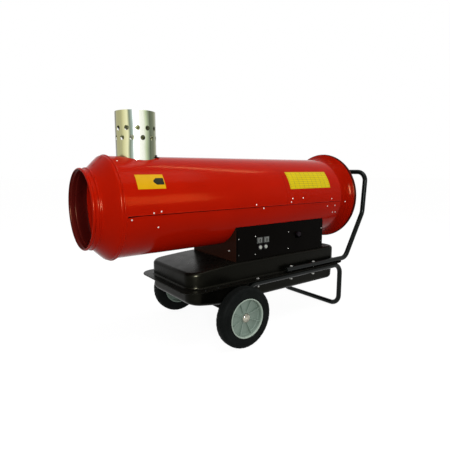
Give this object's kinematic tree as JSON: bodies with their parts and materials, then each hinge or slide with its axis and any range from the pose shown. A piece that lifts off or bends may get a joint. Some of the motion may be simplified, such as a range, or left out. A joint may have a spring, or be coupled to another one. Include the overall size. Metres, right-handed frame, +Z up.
{
  "type": "indirect fired heater",
  "caption": "Portable oil heater on two wheels: round sheet casing with outlet cone and inlet bell, upright flue, flat fuel tank, control box, and bent tube legs and handle.",
  "frame": {"origin": "centre of the bounding box in plan, on the floor", "axes": "+X from the warm air outlet back to the handle, -Y the side with the switches, +Z up"},
  "size_m": [1.4205, 0.582, 0.9164],
  "materials": {
    "red_paint": "glossy red enamel over sheet steel",
    "black_gloss": "gloss black paint",
    "black_satin": "satin black paint",
    "galvanised": "bright galvanised sheet",
    "plain_steel": "plain heat-resistant steel",
    "zinc": "zinc plated",
    "chrome": "bright chrome",
    "brass": "machined brass",
    "aluminium": "cast aluminium",
    "grey_plastic": "light grey moulded plastic",
    "switch_grey": "dark grey plastic",
    "button_grey": "mid grey plastic",
    "black_plastic": "black plastic",
    "white_plastic": "off-white plastic",
    "rubber": "black rubber",
    "tyre": "black rubber tyre",
    "ceramic": "glazed ceramic",
    "copper": "drawn copper"
  },
  "bodies": {
    "heater": {"axle": "black_satin", "baffle_disc": "plain_steel", "bolt_front_far": "zinc", "bolt_front_near": "zinc", "bolt_middle_far": "zinc", "bolt_middle_near": "zinc", "bolt_rear_far": "zinc", "bolt_rear_near": "zinc", "burner_housing": "aluminium", "burner_tube": "plain_steel", "button_collar_left": "black_plastic", "button_collar_right": "black_plastic", "cable_gland": "black_plastic", "combustion_chamber": "plain_steel", "control_box": "black_satin", "control_panel": "black_satin", "drain_plug": "brass", "exchanger_support_front": "plain_steel", "exchanger_support_rear": "plain_steel", "fan_motor": "black_satin", "filler_neck": "black_satin", "flame_control": "white_plastic", "flue_duct": "galvanised", "flue_sleeve": "galvanised", "fuel_gauge": "black_plastic", "fuel_nozzle": "brass", "fuel_pipe_return": "copper", "fuel_pipe_supply": "copper", "fuel_pump": "aluminium", "handle": "black_gloss", "heat_exchanger": "plain_steel", "hub_cap_far": "chrome", "hub_cap_near": "chrome", "ignition_electrodes": "ceramic", "ignition_transformer": "black_plastic", "inlet_bell": "red_paint", "inlet_guard": "black_satin", "leg_frame": "black_gloss", "lower_shell": "red_paint", "motor_bracket": "plain_steel", "outlet_cone": "red_paint", "pump_coupling": "rubber", "switch_body_left": "black_plastic", "switch_body_right": "black_plastic", "tank_lower": "black_gloss", "tank_upper": "black_gloss", "thermostat_socket": "black_plastic", "upper_front_shell": "red_paint", "upper_rear_cover": "red_paint"},
    "wheel_near": {"tyre_near": "tyre", "rim_near": "grey_plastic"},
    "wheel_far": {"tyre_far": "tyre", "rim_far": "grey_plastic"},
    "fan": {"fan": "aluminium"},
    "rocker_left": {"rocker_left": "switch_grey"},
    "rocker_right": {"rocker_right": "switch_grey"},
    "button_left": {"button_left": "button_grey"},
    "button_right": {"button_right": "button_grey"},
    "fuel_cap": {"fuel_cap": "black_plastic"}
  },
  "joints": [
    {"name": "wheel_near_spin", "type": "hinge", "parent": "heater", "child": "wheel_near", "pos_m": [-0.17275, -0.265, 0.124], "axis": [0, 1, 0], "continuous": true},
    {"name": "wheel_far_spin", "type": "hinge", "parent": "heater", "child": "wheel_far", "pos_m": [-0.17275, 0.265, 0.124], "axis": [0, 1, 0], "continuous": true},
    {"name": "fan_spin", "type": "hinge", "parent": "heater", "child": "fan", "pos_m": [0.50875, 0, 0.5633], "axis": [1, 0, 0], "continuous": true},
    {"name": "rocker_left_tilt", "type": "hinge", "parent": "heater", "child": "rocker_left", "pos_m": [-0.00725, -0.163, 0.401], "axis": [0, 0, 1], "range_deg": [-14, 0]},
    {"name": "rocker_right_tilt", "type": "hinge", "parent": "heater", "child": "rocker_right", "pos_m": [0.03175, -0.163, 0.401], "axis": [0, 0, 1], "range_deg": [-14, 0]},
    {"name": "button_left_press", "type": "slide", "parent": "heater", "child": "button_left", "axis": [0, 1, 0], "range_m": [0, 0.003], "stiffness_N_per_m": 200, "springref_m": -0.001},
    {"name": "button_right_press", "type": "slide", "parent": "heater", "child": "button_right", "axis": [0, 1, 0], "range_m": [0, 0.003], "stiffness_N_per_m": 200, "springref_m": -0.001},
    {"name": "fuel_cap_turn", "type": "hinge", "parent": "heater", "child": "fuel_cap", "pos_m": [0.46075, 0.112, 0.345], "axis": [0, 0, 1], "range_deg": [0, 90]}
  ]
}
